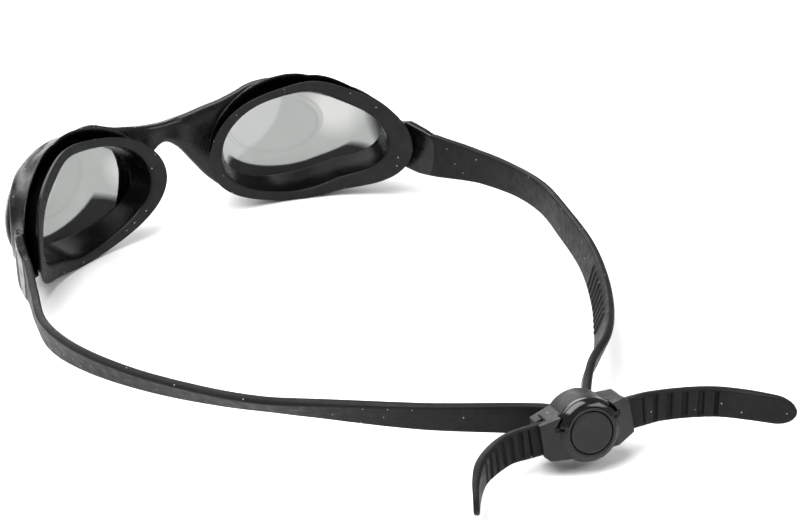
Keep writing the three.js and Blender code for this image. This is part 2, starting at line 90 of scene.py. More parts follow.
TAIL_HINGE_X = WING_LENGTH + GAP + STRAP_THICKNESS / 2

Z_AXIS = np.array([0.0, 0.0, 1.0])


# ---------------------------------------------------------------- meshes from rings of points
def to_row(points):
    """Design millimetres to metres in the row frame."""
    return (np.asarray(points, float) + ORIGIN_SHIFT) * MM


def add_to_scene(name, data):
    made = bpy.data.objects.new(name, data)
    bpy.context.scene.collection.objects.link(made)
    return made


def new_object(name, vertices, faces, uvs=None):
    mesh = bpy.data.meshes.new(name)
    mesh.from_pydata([tuple(v) for v in vertices], [], [tuple(f) for f in faces])
    mesh.validate()
    if uvs is not None:
        layer = mesh.uv_layers.new(name="millimetres")
        for loop in mesh.loops:
            layer.data[loop.index].uv = uvs[loop.vertex_index]
    work = bmesh.new()
    work.from_mesh(mesh)
    bmesh.ops.recalc_face_normals(work, faces=work.faces)
    work.to_mesh(mesh)
    work.free()
    mesh.shade_smooth()
    return add_to_scene(name, mesh)


def ring_mesh(name, rings, closed_along=False, uvs=None):
    """Body through rings of points (rows, columns, 3): closed around, and either capped or closed along."""
    rings = np.asarray(rings, float)
    rows, columns = rings.shape[:2]
    faces = []
    for i in range(rows if closed_along else rows - 1):
        here, there = i * columns, ((i + 1) % rows) * columns
        for j in range(columns):
            k = (j + 1) % columns
            faces.append((here + j, there + j, there + k, here + k))
    if not closed_along:
        faces.append(tuple(range(columns)))
        faces.append(tuple(reversed(range((rows - 1) * columns, rows * columns))))
    flat_uvs = None if uvs is None else np.asarray(uvs).reshape(-1, 2)
    return new_object(name, to_row(rings.reshape(-1, 3)), faces, flat_uvs)


def mirror_copy(source, name):
    mesh = source.data.copy()
    mesh.name = name
    mesh.transform(Matrix.Diagonal((-1, 1, 1, 1)))
    # the design's mid plane is off the row frame's by the origin shift
    mesh.transform(Matrix.Translation((2 * ORIGIN_SHIFT[0] * MM, 0, 0)))
    mesh.flip_normals()
    return add_to_scene(name, mesh)


def apply_modifiers(piece):
    bpy.context.view_layer.update()
    evaluated = piece.evaluated_get(bpy.context.evaluated_depsgraph_get())
    baked = bpy.data.meshes.new_from_object(evaluated)
    piece.modifiers.clear()
    piece.data = baked
    return piece


LARGEST_CUT = 0.45                  # a rounded corner takes at most this share of the side next to it
SIDE_POINTS = (0.12, 0.5, 0.88)     # where points are added along each straight side


def softened(corners, cuts, steps=4):
    """Section with each corner rounded off over its cut length.

    Corners are arrays of (radius, depth) pairs.
    """
    corners = [np.asarray(c, float) for c in corners]
    total = len(corners)
    rounded = []
    for i, (point, cut) in enumerate(zip(corners, cuts)):
        before = corners[i - 1] - point
        after = corners[(i + 1) % total] - point
        reach_before = np.minimum(cut / np.linalg.norm(before, axis=-1), LARGEST_CUT)[..., None]
        reach_after = np.minimum(cut / np.linalg.norm(after, axis=-1), LARGEST_CUT)[..., None]
        start = point + before * reach_before
        end = point + after * reach_after
        for t in np.linspace(0, 1, steps + 1):
            rounded.append((1 - t) ** 2 * start + 2 * t * (1 - t) * point + t * t * end)
    section = []
    size = steps + 1
    for i in range(total):
        section.extend(rounded[i * size:(i + 1) * size])
        start = rounded[(i + 1) * size - 1]
        end = rounded[((i + 1) % total) * size]
        section.extend(start + (end - start) * t for t in SIDE_POINTS)
    return section


# ---------------------------------------------------------------- eyecup surfaces
N_AXIS = np.array([
    -math.sin(CUP_WRAP) * math.cos(CUP_TILT), -math.cos(CUP_WRAP) * math.cos(CUP_TILT), -math.sin(CUP_TILT),
])
U_AXIS = np.array([math.cos(CUP_WRAP), -math.sin(CUP_WRAP), 0.0])
V_AXIS = np.cross(N_AXIS, U_AXIS)
ANGLES = np.linspace(0, 2 * math.pi, 240, endpoint=False)


def seal_radius(angle):
    return (24.2 - 1.5 * np.cos(angle) - 1.1 * np.sin(angle) + 5.8 * np.cos(2 * angle)
            - 0.1 * np.sin(2 * angle) - 0.5 * np.sin(3 * angle) + 1.1 * np.cos(4 * angle)
            - 0.4 * np.sin(4 * angle))


def swell(angle, at):
    """1 at an angle round the cup, falling smoothly to 0 a quarter turn away."""
    return np.maximum(0, np.cos(angle - at)) ** 3


UPPER = math.radians(85)
NOSE_CORNER = math.radians(215)
TEMPLE_CORNER = math.radians(28)


def lens_radius(angle):
    return (18.1 - 2.7 * np.cos(angle) - 0.3 * np.sin(angle) + 5.2 * np.cos(2 * angle)
            + 0.9 * np.cos(4 * angle) + 1.6 * swell(angle, NOSE_CORNER) - 2.2 * swell(angle, UPPER))


def flange_width(angle):
    return 4.3 + 1.5 * np.cos(angle) + 1.2 * np.cos(2 * angle)


def rim_outset(angle):
    brow = 3.2 * np.maximum(0, -np.sin(2 * angle)) * np.maximum(0, np.sin(angle))
    return 0.1 + brow - 1.5 * swell(angle, TEMPLE_CORNER) ** 3


def face_depth(u):
    return FACE_CURVE * u * u


def lens_depth(u):
    return LENS_CURVE * u * u - LENS_DEPTH


def cup_space(u, v, n):
    u, v, n = (np.asarray(a, float)[..., None] for a in (u, v, n))
    return CUP_CENTRE + U_AXIS * u + V_AXIS * v + N_AXIS * n


def corner(radius, rule, offset):
    return np.stack([radius, rule(radius * np.cos(ANGLES)) + offset], axis=-1)


def cup_sweep(name, corners, cuts):
    """Soft-cornered section swept round the right cup."""
    section = softened(corners, cuts)
    rings = [cup_space(place[:, 0] * np.cos(ANGLES), place[:, 0] * np.sin(ANGLES), place[:, 1])
             for place in section]
    # how far behind the lens rim, and how far behind the face: materials tell surfaces apart by them
    uvs = [np.stack([place[:, 1] - lens_depth(place[:, 0] * np.cos(ANGLES)),
                     place[:, 1] - face_depth(place[:, 0] * np.cos(ANGLES))], axis=-1) for place in section]
    return ring_mesh(name, rings, closed_along=True, uvs=uvs)


def make_seal():
    outer = seal_radius(ANGLES)
    inner = outer - flange_width(ANGLES)
    seat = lens_radius(ANGLES)
    middle = (inner + seat) / 2
    # face of the flange, inner wall, seat behind the lens, outer wall, back of the flange
    corners = [
        corner(outer, face_depth, 0), corner(inner, face_depth, 0), corner(middle, face_depth, -3.5),
        corner(seat, lens_depth, GAP), corner(seat + 1.3, lens_depth, GAP),
        corner(middle + 1, face_depth, -4.5), corner(outer - 0.5, face_depth, -1.4),
    ]
    return cup_sweep("eye_seal_right", corners, (0.5, 1.1, 2.5, 0.4, 0.4, 1.8, 0.45))


def make_lens():
    """Clear shell: flange, side wall swept back to the temple, flat front window near the nose."""
    uvs = []

    def layer(mix, grow, offset):
        radius = lens_radius(ANGLES) + 1.4
        rim_u, rim_v = radius * np.cos(ANGLES), radius * np.sin(ANGLES)
        u = rim_u + (WINDOW["u"] + (WINDOW["half_width"] + grow) * np.cos(ANGLES) - rim_u) * mix
        v = rim_v + (WINDOW["v"] + (WINDOW["half_height"] + grow) * np.sin(ANGLES) - rim_v) * mix
        bulge = math.sqrt(1 - (1 - mix) ** 2)
        depth = lens_depth(rim_u) + (WINDOW["depth"] - lens_depth(rim_u)) * bulge + offset
        uvs.append(np.stack([np.full_like(v, mix), v], axis=-1))
        return cup_space(u, v, depth)

    def window(scale, grow, depth):
        u = WINDOW["u"] + (WINDOW["half_width"] + grow) * scale * np.cos(ANGLES)
        v = WINDOW["v"] + (WINDOW["half_height"] + grow) * scale * np.sin(ANGLES)
        uvs.append(np.stack([np.full_like(v, 2 - scale), v], axis=-1))
        return cup_space(u, v, np.full_like(u, depth))

    scales = (0.05, 0.35, 0.7, 0.94, 0.99)
    outside = [window(s, 0, WINDOW["depth"] - LENS_WALL - 0.3) for s in scales]
    outside += [layer(m, 0, -LENS_WALL * m - 0.3) for m in np.linspace(1, 0, 28) ** 1.4]
    inside = [layer(m, -LENS_WALL, -0.3 * (1 - m)) for m in 0.04 + 0.96 * np.linspace(0, 1, 28) ** 1.4]
    inside += [window(s, -LENS_WALL, WINDOW["depth"]) for s in reversed(scales)]
    return ring_mesh("lens_shell_right", outside + inside, uvs=uvs)


# ---------------------------------------------------------------- bands
def smooth_path(points, per_span):
    """Centripetal Catmull-Rom curve. Returns places, tangents and the span position of each sample."""
    points = np.asarray(points, float)
    ends = np.vstack([2 * points[0] - points[1], points, 2 * points[-1] - points[-2]])
    places, tangents, positions = [], [], []
    spans = len(points) - 1
    for i in range(spans):
        p0, p1, p2, p3 = ends[i:i + 4]
        d0, d1, d2 = (math.sqrt(np.linalg.norm(b - a)) for a, b in ((p0, p1), (p1, p2), (p2, p3)))
        m1 = ((p1 - p0) / d0 - (p2 - p0) / (d0 + d1) + (p2 - p1) / d1) * d1
        m2 = ((p2 - p1) / d1 - (p3 - p1) / (d1 + d2) + (p3 - p2) / d2) * d1
        last = i == spans - 1
        for t in np.linspace(0, 1, per_span + 1)[: None if last else -1]:
            a, b = -3 * p1 + 3 * p2 - 2 * m1 - m2, 2 * p1 - 2 * p2 + m1 + m2
            places.append(p1 + m1 * t + a * t * t + b * t ** 3)
            tangent = m1 + 2 * a * t + 3 * b * t * t
            tangents.append(tangent / np.linalg.norm(tangent))
            positions.append(i + t)
    return np.array(places), np.array(tangents), np.array(positions)


UP_EASE = 8.0                       # the band's lean changes smoothly over about this many millimetres


def eased(values, step):
    kernel = np.hanning(int(UP_EASE / step) * 2 + 1)
    kernel /= kernel.sum()
    padded = np.pad(values, len(kernel) // 2, mode="edge")
    return np.convolve(padded, kernel, mode="valid")


def even_path(points, ups, widths, step):
    """The same curve at even steps, with the band's height direction and width carried along."""
    places, tangents, positions = smooth_path(points, 40)
    length = np.concatenate([[0], np.cumsum(np.linalg.norm(np.diff(places, axis=0), axis=1))])
    total = length[-1]
    along = np.linspace(0, total, int(total / step) + 2)
    knots = np.arange(len(points))

    def carry(values):
        values = np.asarray(values, float)
        at_samples = np.interp(positions, knots, values)
        return np.interp(along, length, at_samples)

    place = np.stack([np.interp(along, length, places[:, k]) for k in range(3)], axis=-1)
    tangent = np.stack([np.interp(along, length, tangents[:, k]) for k in range(3)], axis=-1)
    up = np.stack([eased(carry(np.asarray(ups)[:, k]), step) for k in range(3)], axis=-1)
    tangent /= np.linalg.norm(tangent, axis=1)[:, None]
    high = up - tangent * np.sum(up * tangent, axis=1)[:, None]
    high /= np.linalg.norm(high, axis=1)[:, None]
    return along, place, tangent, high, carry(widths)


BLUNT_END = 0.12                    # share of its half width that a rounded end keeps at its tip


def band_outline():
    """A walk round a band's section, as (share of its height, turn of its edge, side)."""
    outline = []
    flat = np.linspace(1, -1, 25)
    bend = np.radians([0, 22.5, 45, 67.5, 90])
    for side, order in ((1, flat), (-1, -flat)):
        outline.extend((share, 0.0, side) for share in order)
        outline.extend((-side, turn, side) for turn in bend[1:])
        outline.extend((-side, turn, -side) for turn in bend[-2:0:-1])
    return outline


def band(name, points, ups, widths, thickness, relief=None, step=0.3,
         start_round=0.0, end_round=0.0, corner_radius=0.7):
    """Flat rubber band. thickness(along, total) is in millimetres.

    relief(along, height, total) gives how far the outer and inner faces stand out, in millimetres.
    """
    along, place, tangent, high, width = even_path(points, ups, widths, step)
    total = along[-1]
    out = np.cross(tangent, high)
    half = width / 2
    for distance, radius in ((along, start_round), (total - along, end_round)):
        if radius:
            from_centre = np.clip(1 - distance / radius, 0, 1)
            half = half * np.maximum(np.sqrt(1 - from_centre ** 2), BLUNT_END)
    thick = thickness(along, total) / 2
    radius = np.minimum(corner_radius, thick * 0.98)
    inner_half = np.maximum(half - radius, 0.02)
    rings, uvs = [], []
    for share, turn, side in band_outline():
        height = share * (inner_half + radius * math.sin(turn))
        depth = side * (thick - radius + radius * math.cos(turn))
        if relief:
            outer, inner = relief(along, height, total)
            depth = depth + (outer if side > 0 else -inner) * math.cos(turn)
        rings.append(place + high * height[:, None] + out * depth[:, None])
        uvs.append(np.stack([along, height], axis=-1))
    rings = np.stack(rings, axis=1)
    uvs = np.stack(uvs, axis=1)
    return ring_mesh(name, rings, uvs=uvs)


def leaning(out_x, out_y, degrees):
    flat = np.array([out_x, out_y, 0.0])
    flat *= math.sin(math.radians(degrees)) / np.linalg.norm(flat)
    return flat + Z_AXIS * math.cos(math.radians(degrees))


BUCKLE = (Matrix.Translation(BUCKLE_BACK) @ Matrix.Rotation(BUCKLE_TURN, 4, "Z")
          @ Matrix.Rotation(BUCKLE_ROLL, 4, "Y") @ Matrix.Rotation(BUCKLE_LEAN, 4, "X"))
BUCKLE_UP = np.array(BUCKLE.to_3x3() @ Vector((0, 0, 1)))
BUCKLE_OUT = np.array(BUCKLE.to_3x3() @ Vector((0, -1, 0)))


def in_buckle(x, depth, z=0.0):
    return np.array(BUCKLE @ Vector((x, -depth, z)))


# Each strap half from the temple back to the buckle: x, y, z, outward lean in degrees, and width.
RIGHT_ROUTE = [
    (74.5, -40, 14.4, -6, 11), (77, -55, 13.5, -5, 9.8), (75.5, -69.5, 13, 2, 9.4),
    (69, -87.5, 12.4, 10, 9), (59.5, -109, 12, 17, 8.7), (48, -128, 11.5, 26, 8.5),
    (37.5, -142, 11.2, 31, 8.4), (27.3, -153.3, 11.6, 26, 8.2), (15, -162.6, 11.2, 19, 8),
]
LEFT_ROUTE = [
    (-75, -41, 13.8, 2, 10.6), (-80, -57, 13.3, 13, 9.6), (-80, -74, 13.2, 24, 9),
    (-74, -94.5, 12.6, 34, 8.5), (-63, -115.5, 12, 44, 8.4), (-55, -125.5, 11.4, 48, 8.2),
    (-46, -134.5, 10.8, 38, 8), (-28.3, -151.5, 9.5, 17, 7.8),
]


def strap_route(side, route):
    """Points, height directions and widths from inside the temple arm to the buckle wing."""
    x, y, z = HINGE + (0, 0, 0.3)
    points = [(side * 66.9, y + 11, 16.2), (side * (x - 1.6), y + ROOT_RADIUS, z), (side * x, y, z)]
    ups = [Z_AXIS] * 3
    widths = [14.6, 14.0, 13.6]
    for x, y, z, lean, width in route:
        points.append((x, y, z))
        ups.append(leaning(x, y + 80, lean))
        widths.append(width)
    radius = BAR_RADIUS + GAP + STRAP_THICKNESS / 2
    diagonal = radius * math.sqrt(0.5)
    # in through the back of the wing, round the bar, and out to the wing's end
    inside = [
        (BAR_X - radius + 0.6, -3.5), (BAR_X - radius, 0.5), (BAR_X - radius, BAR_DEPTH - 0.5),
        (BAR_X - diagonal, BAR_DEPTH + diagonal), (BAR_X, LAYER), (BAR_X + 1, LAYER),
        (WING_LENGTH - GAP, LAYER),
    ]
    for x, depth in inside:
        points.append(in_buckle(side * x, depth))
        ups.append(BUCKLE_UP)
        widths.append(STRAP_WIDTH)
    return points, ups, widths


def smooth_step(x, low, high):
    t = np.clip((x - low) / (high - low), 0, 1)
    return t * t * (3 - 2 * t)


def groove_wave(position, pitch, share):
    """1 at the middle of each groove, 0 on the rib between, with soft walls."""
    phase = np.abs((position / pitch) % 1 - 0.5) * 2
    return smooth_step(phase, 1 - share, 1 - share + 0.22)


def strap_thickness(along, _total):
    """A little thinner where it starts inside the temple arm."""
    return 2.0 + 0.2 * smooth_step(along, 8, 24)


def make_strap(name, side, route, relief):
    points, ups, widths = strap_route(side, route)
    return band(name, points, ups, widths, strap_thickness, relief, start_round=3.0)


def right_strap_relief(along, height, total):
    """Diagonal raised ribs on the inner face, ahead of the buckle."""
    slanted = along + 0.5 * height
    window = smooth_step(slanted, total - 92, total - 91) * (1 - smooth_step(slanted, total - 60, total - 59))
    inset = 1 - smooth_step(np.abs(height + 0.5), 2.6, 3.1)
    return 0.45 * groove_wave(slanted, 3.6, 0.5) * window * inset, 0.0 * along


# Each free tail from the buckle to its tip: x, y, z and outward lean in degrees.
RIGHT_TAIL = [
    (16, -186.6, 11.2, 4), (23, -188.8, 10.6, 4), (29.7, -192.6, 10.1, 5), (34.8, -197.8, 9.6, 6),
    (42, -207.5, 8.7, 8),
]
LEFT_TAIL = [
    (-21.5, -177.3, 9.1, 2), (-27, -178.5, 8.8, 10), (-33, -181.3, 8.3, 18), (-37.5, -185.4, 7, 22),
    (-41.4, -190.4, 5.3, 22),
]


def tail_relief(outer_side, first, count, pitch, share):
    """Deep cross grooves on the face turned away from the head, which the pawl's heel drops into."""
    def relief(along, height, total):
        last = first + count * pitch
        window = smooth_step(along, first, first + 0.3) * (1 - smooth_step(along, last, last + 0.3))
        inset = 1 - smooth_step(np.abs(height), 3.0, 3.4)
        depth = 0.8 * groove_wave(along - first, pitch, share) * window * inset
        return (-depth, 0.0 * along) if outer_side > 0 else (0.0 * along, -depth)
    return relief


def tail_thickness(along, total):
    return STRAP_THICKNESS - 0.7 * smooth_step(along, total - 12, total - 1)


def make_tail(name, side, route, relief):
    points = [in_buckle(side * x, LAYER) for x in (TAIL_HINGE_X - 3.0, TAIL_HINGE_X + 1.5)]
    ups = [BUCKLE_UP, BUCKLE_UP]
    for x, y, z, lean in route:
        points.append((x, y, z))
        ups.append(BUCKLE_UP + BUCKLE_OUT * math.tan(math.radians(lean)))
    widths = [STRAP_WIDTH] * 2 + [TAIL_WIDTH] * len(route)
    return band(name, points, ups, widths, tail_thickness, relief, step=0.2, end_round=5.5)


# ---------------------------------------------------------------- soft frame
def make_rim():
    outer = seal_radius(ANGLES) + rim_outset(ANGLES)
    seat = lens_radius(ANGLES)
    shoulder = 0.45 * outer + 0.55 * seat + 0.9 * (1 - swell(ANGLES, UPPER))
    # outer lip, groove in front of the seal, slot that holds the lens, front edge, shoulder
    corners = [
        corner(outer, face_depth, -RIM_SETBACK), corner(outer - 1.5, face_depth, -RIM_SETBACK),
        corner(seat + 2.2, lens_depth, 1.8), corner(seat + 0.8, lens_depth, 1.3),
        corner(seat + 0.8, lens_depth, 0.05), corner(seat + 1.7, lens_depth, 0),
        corner(seat + 1.7, lens_depth, -2.0), corner(seat + 3.0, lens_depth, -2.4),
        corner(shoulder, lens_depth, 0),
    ]
    return cup_sweep("rim_right", corners, (0.5, 0.45, 0.5, 0.2, 0.2, 0.2, 0.3, 0.8, 2.5))


def make_bridge():
    # x, y, lower edge, upper edge and thickness, from the top of the right cup to the middle
    half = [
        (34, 9.2, 35, 40.1, 1.6), (30, 10.6, 31, 39.9, 2.6), (26, 12.3, 22, 38.8, 3.6),
        (22, 13.5, 12, 37, 4), (17.5, 15.5, 7, 35, 4.5), (13.5, 17.5, 10, 33.6, 4.5),
        (9, 19, 16, 32.2, 4.2), (4.5, 20, 22, 31.3, 4), (0, 20, 24.6, 31, 3.8),
    ]
    stations = np.array(half + [(-x, y, low, high, thick) for x, y, low, high, thick in reversed(half[:-1])])
    fine = smooth_path(stations[:, [0, 1, 2]], 8)[0]
    upper = smooth_path(stations[:, [0, 3, 4]], 8)[0]
    turn = np.linspace(0, 2 * math.pi, 64, endpoint=False)
    rings = []
    for (x, y, low), (_, high, thick) in zip(fine, upper):
        # a superellipse: flat sides with well rounded top and bottom edges
        c, s = np.cos(turn), np.sin(turn)
        h = np.sign(s) * np.abs(s) ** 0.6 * (high - low) / 2 + (high + low) / 2
        o = np.sign(c) * np.abs(c) ** 0.7 * thick / 2
        rings.append(np.stack([np.full_like(h, x), y + o, h], axis=-1))
    return ring_mesh("bridge", rings)


def arm_thickness(along, total):
    """Thickest at mid length, thinner into the rim and towards the strap."""
    return 1.6 + 1.1 * smooth_step(along, 1, 9) - 0.4 * smooth_step(along, 11, total)


def make_arm():
    points = [(63, -7.5, 18.6), (65.9, -14.5, 17), (68.1, -20.5, 15.3), (69.5, -25.5, 14.6)]
    widths = [9, 15.3, 14.9, 13.4]
    return band("arm_right", points, [Z_AXIS] * 4, widths, arm_thickness, end_round=1.5, corner_radius=0.9)


def cup_hollow():
    """Space inside the right rim that the bridge and arm stay out of."""
    inner = lens_radius(ANGLES) + 1.8
    groove = seal_radius(ANGLES) + rim_outset(ANGLES) - 1.6
    past = seal_radius(ANGLES) + 1
    places = [
        corner(inner, lens_depth, -14), corner(inner, lens_depth, 1.2),
        corner(groove, face_depth, -RIM_SETBACK), corner(past, face_depth, 0.5 - RIM_SETBACK),
        corner(past, face_depth, 8),
    ]
    rings = [cup_space(p[:, 0] * np.cos(ANGLES), p[:, 0] * np.sin(ANGLES), p[:, 1]) for p in places]
    return ring_mesh("hollow", rings)


def boolean(target, tool, operation):
    modifier = target.modifiers.new("cut", "BOOLEAN")
    modifier.object = tool
    modifier.operation = operation
    modifier.solver = "EXACT"
    return apply_modifiers(target)


def discard(piece):
    bpy.data.objects.remove(piece)


def moulded(piece, voxel, passes):
    """Remeshed into one even skin, so that every edge is slightly rounded. The voxel is in millimetres."""
    remesh = piece.modifiers.new("skin", "REMESH")
    remesh.mode = "VOXEL"
    remesh.voxel_size = voxel * MM
    remesh.use_smooth_shade = True
    smooth = piece.modifiers.new("soften", "SMOOTH")
    smooth.factor = 0.5
    smooth.iterations = passes
    apply_modifiers(piece)
    piece.data.shade_smooth()
    return piece


def make_frame():
    """Rims, bridge and arms moulded into one skin."""
    hollow = cup_hollow()
    other_hollow = mirror_copy(hollow, "hollow_left")
    arm = make_arm()
    boolean(arm, hollow, "DIFFERENCE")
    bridge = make_bridge()
    boolean(bridge, hollow, "DIFFERENCE")
    boolean(bridge, other_hollow, "DIFFERENCE")
    rim = make_rim()
    pieces = [rim, mirror_copy(rim, "rim_left"), arm, mirror_copy(arm, "arm_left"), bridge]
    work = bmesh.new()
    for piece in pieces:
        work.from_mesh(piece.data)
    mesh = bpy.data.meshes.new("goggle_frame")
    work.to_mesh(mesh)
    work.free()
    for piece in pieces + [hollow, other_hollow]:
        discard(piece)
    return moulded(add_to_scene("goggle_frame", mesh), voxel=0.25, passes=3)


# ---------------------------------------------------------------- buckle
def wing_outline(inset, steps=24):
    """The buckle seen from its front: a round boss between two wings with cut corners."""
    radius = BOSS_RADIUS - inset
    end, low = WING_LENGTH - inset, WING_END - inset
    shoulder = math.radians(43)
    chamfer = 1.2
    quarter = [(end, chamfer - low), (end, low - chamfer), (end - chamfer, low)]
    top = [(radius * math.cos(a), radius * math.sin(a))
           for a in np.linspace(shoulder, math.pi - shoulder, steps)]
    half = quarter + top
    return half + [(-x, -z) for x, z in half]


def in_buckle_row(x, depth, z):
    return Vector(to_row(in_buckle(x, depth, z)))


def plate(name, outline, low, high):
    """Plate of an outline between two depths of the buckle."""
    work = bmesh.new()
    floor = [work.verts.new(in_buckle_row(x, low, z)) for x, z in outline]
    face = work.faces.new(floor)
    lifted = bmesh.ops.extrude_face_region(work, geom=[face])
    shift = Vector(to_row(in_buckle(0, high)) - to_row(in_buckle(0, low)))
    top = [part for part in lifted["geom"] if isinstance(part, bmesh.types.BMVert)]
    bmesh.ops.translate(work, verts=top, vec=shift)
    bmesh.ops.recalc_face_normals(work, faces=work.faces)
    mesh = bpy.data.meshes.new(name)
    work.to_mesh(mesh)
    work.free()
    return add_to_scene(name, mesh)


def cutter(x0, x1, from_depth, to_depth, z0, z1):
    outline = [(x0, z0), (x1, z0), (x1, z1), (x0, z1)]
    return plate("cutter", outline, from_depth, to_depth)


def carve(piece, *boxes):
    for box in boxes:
        tool = cutter(*box)
        boolean(piece, tool, "DIFFERENCE")
        discard(tool)
    return piece


def turned(profile, steps=128):
    """Ring turned about the button's axis from a closed profile of (radius, depth)."""
    turn = np.linspace(0, 2 * math.pi, steps, endpoint=False)
    rings = []
    for radius, depth in profile:
        rings.append([in_buckle(radius * math.cos(a), depth, radius * math.sin(a)) for a in turn])
    return rings


def make_base():
    base = plate("buckle_body", wing_outline(0.3), 0, BASE_TOP)
    channel = STRAP_WIDTH / 2 + GAP
    long, sill = WING_LENGTH + 1, WING_LENGTH - 2
    strap_gap = (-long, long, LAYER - STRAP_THICKNESS / 2 - GAP, BASE_TOP + 1, -channel, channel)
    hollow = (-sill, sill, PLATE, BASE_TOP + 0.5, -channel, channel)
    slots = [(x, x + 7.1, -1, 2.6, -channel, channel) for x in (2.3, -9.4)]
    carve(base, strap_gap, hollow, *slots)
    return moulded(base, voxel=0.14, passes=3)


def turned_solid(name, profile):
    rings = turned(profile)
    return ring_mesh(name, rings, closed_along=True)


def roof_prism():
    """Wing fronts: level over the button's ring, sloping down to both ends."""
    outline = [(-WING_LENGTH, 0), (-WING_LENGTH, ROOF_END), (-ROOF_HALF, ROOF_CROWN),
               (ROOF_HALF, ROOF_CROWN), (WING_LENGTH, ROOF_END), (WING_LENGTH, 0)]
    rings = [[in_buckle(x, depth, z) for x, depth in outline] for z in (-WING_END, WING_END)]
    return ring_mesh("roof", rings)


def make_cover():
    low = BASE_TOP + 0.1
    edge = BOSS_RADIUS - 0.2
    wings = plate("buckle_front", wing_outline(0.1), low, ROOF_CROWN + 1)
    roof = roof_prism()
    boolean(wings, roof, "INTERSECT")
    inner = BUTTON_RADIUS + GAP
    dome = turned_solid("dome", [
        (inner, low), (edge, low), (edge, 8.2), (edge - 0.15, 8.9), (edge - 0.4, 9.5), (edge - 0.7, 10.0),
        (edge - 1.1, 10.4), (LIP_RADIUS + 0.3, 10.75), (LIP_RADIUS, LIP_TOP), (inner, LIP_TOP),
    ])
    bore = turned_solid("bore", [(0.02, -1), (inner, -1), (inner, LIP_TOP + 1), (0.02, LIP_TOP + 1)])
    pocket = turned_solid("pocket", [
        (LIP_RADIUS, LIP_TOP + 1), (LIP_RADIUS, 10.0), (LIP_RADIUS + 0.8, 9.4), (LIP_RADIUS + 1.2, 8.6),
        (LIP_RADIUS + 1.4, INLAY_FLOOR), (edge + 0.35, INLAY_FLOOR), (edge + 0.35, LIP_TOP + 1),
    ])
    carve(pocket, (-20, 20, -1, 20, -20, INLAY_LOW))
    boolean(wings, dome, "UNION")
    boolean(wings, bore, "DIFFERENCE")
    boolean(wings, pocket, "DIFFERENCE")
    # a small step at each end of the inlay
    carve(wings, *[(x, x + 1.9, 9.0, 12, INLAY_LOW - 1.0, INLAY_LOW + 0.5) for x in (-8.2, 6.3)])
    for tool in (roof, dome, bore, pocket):
        discard(tool)
    return moulded(wings, voxel=0.12, passes=2)


def rounded_profile(corners, cuts):
    section = softened([np.array([c]) for c in corners], cuts, 5)
    return [tuple(place[0]) for place in section]


def make_inlay():
    """Glossy domed crescent let into the front shell above the button."""
    outer = BOSS_RADIUS - 0.15
    inner = LIP_RADIUS + 0.1
    floor = INLAY_FLOOR + 0.1
    corners = [(inner, 9.6), (inner, LIP_TOP - 0.35), (outer - 1.0, LIP_TOP - 0.75),
               (outer, 9.2), (outer, floor), (outer - 0.6, floor)]
    profile = rounded_profile(corners, (0.1, 0.3, 1.0, 1.2, 0.1, 0.1))
    ring = turned_solid("dome_crescent", profile)
    return carve(ring, (-20, 20, -1, 20, -20, INLAY_LOW + 0.1))


def make_button():
    """Disc with a slightly dished face."""
    top = BUTTON_TOP
    profile = [(0.02, top - 0.12), (2.2, top - 0.1), (3.8, top - 0.04), (4.6, top), (4.9, top - 0.03),
               (BUTTON_RADIUS, top - 0.14), (BUTTON_RADIUS, top - 0.34), (BUTTON_RADIUS, top - 1.2),
               (4.6, top - 1.5), (0.02, top - 1.5)]
    return ring_mesh("push_cap", turned(profile))


# ---------------------------------------------------------------- materials
def new_material(name, color, roughness, specular=0.5):
    material = bpy.data.materials.new(name)
    material.use_nodes = True
    shader = material.node_tree.nodes["Principled BSDF"]
    shader.inputs["Base Color"].default_value = (*color, 1)
    shader.inputs["Roughness"].default_value = roughness
    shader.inputs["Specular IOR Level"].default_value = specular
    return material, shader


